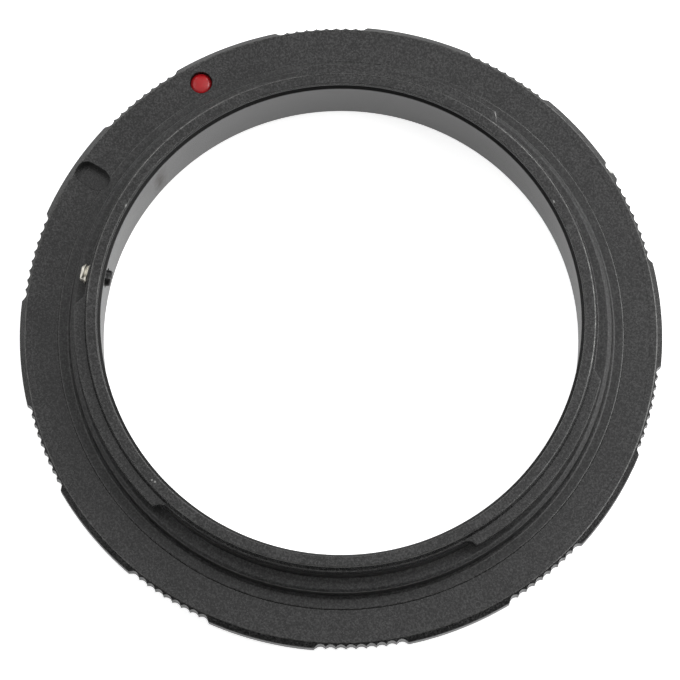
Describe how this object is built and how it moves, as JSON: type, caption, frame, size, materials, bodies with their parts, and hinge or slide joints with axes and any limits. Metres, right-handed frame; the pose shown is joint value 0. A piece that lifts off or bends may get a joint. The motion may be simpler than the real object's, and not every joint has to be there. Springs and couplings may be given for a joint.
{
  "type": "macro reverse ring",
  "caption": "Black anodised ring with a bayonet neck on one side and a male filter thread on the other, for mounting a lens back to front on a camera.",
  "frame": {"origin": "on the bore's axis, at the end face of the threaded tube that the ring stands on", "axes": "+Z along the bore's axis towards the bayonet side, +X from the axis towards the red index dot"},
  "size_m": [0.064, 0.064, 0.0118],
  "materials": {
    "black_anodised": "bead-blasted matt",
    "red_enamel": "gloss",
    "bright_steel": "turned"
  },
  "bodies": {
    "root": {"ring_body": "black_anodised", "index_dot": "red_enamel", "stop_screw": "bright_steel"}
  },
  "joints": []
}
